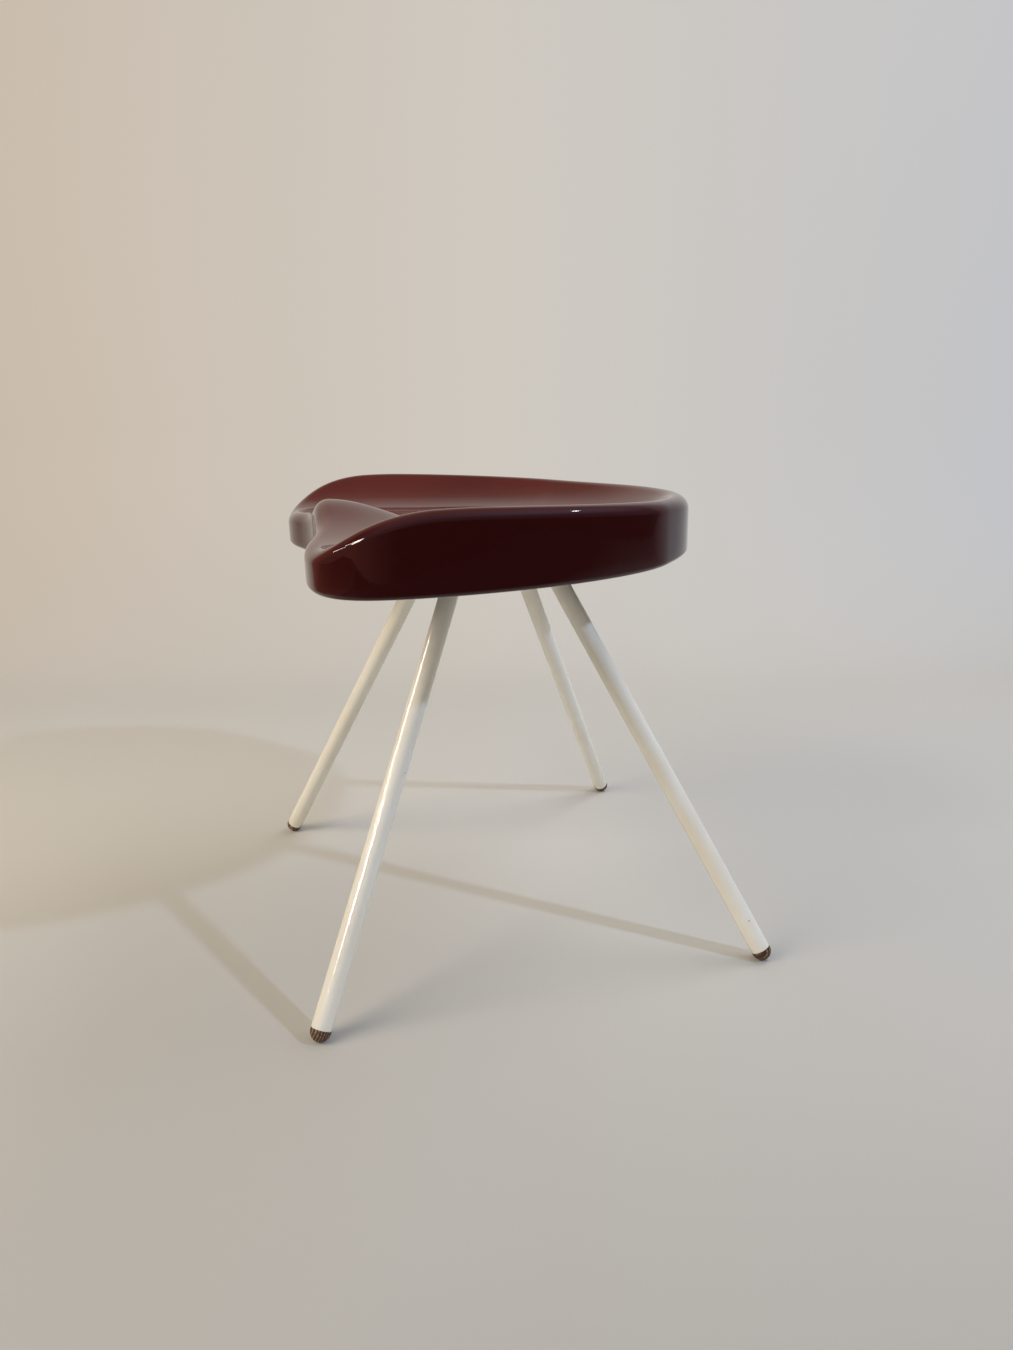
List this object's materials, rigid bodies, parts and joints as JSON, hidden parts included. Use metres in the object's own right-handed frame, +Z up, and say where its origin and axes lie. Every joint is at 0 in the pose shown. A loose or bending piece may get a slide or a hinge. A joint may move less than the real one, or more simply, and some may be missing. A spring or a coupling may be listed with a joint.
{
  "type": "stool",
  "caption": "Low stool with a sculpted, ridged seat shell on splayed straight tube legs with domed wooden feet, screwed together under the seat.",
  "frame": {"origin": "on the floor, in the middle of the four feet", "axes": "+Z up, the sitter faces -Y, +X is the sitter's left"},
  "size_m": [0.47, 0.443, 0.4502],
  "materials": {
    "seat_lacquer": "high-gloss deep maroon",
    "frame_enamel": "semi-gloss ivory enamel on steel",
    "foot_wood": "oiled turned hardwood",
    "boss_plastic": "matte dark moulding",
    "insert_brass": "plain turned brass",
    "screw_steel": "zinc-plated steel"
  },
  "bodies": {
    "root": {"seat_shell": "seat_lacquer", "boss_front": "boss_plastic", "boss_rear": "boss_plastic", "boss_left": "boss_plastic", "boss_right": "boss_plastic", "threaded_inserts": "insert_brass", "mounting_screws": "screw_steel", "mounting_washers": "screw_steel", "mounting_plate": "frame_enamel", "weld_front_left": "frame_enamel", "weld_front_right": "frame_enamel", "weld_rear_left": "frame_enamel", "weld_rear_right": "frame_enamel", "leg_front_left": "frame_enamel", "leg_front_right": "frame_enamel", "leg_rear_left": "frame_enamel", "leg_rear_right": "frame_enamel", "foot_front_left": "foot_wood", "foot_front_right": "foot_wood", "foot_rear_left": "foot_wood", "foot_rear_right": "foot_wood"}
  },
  "joints": []
}
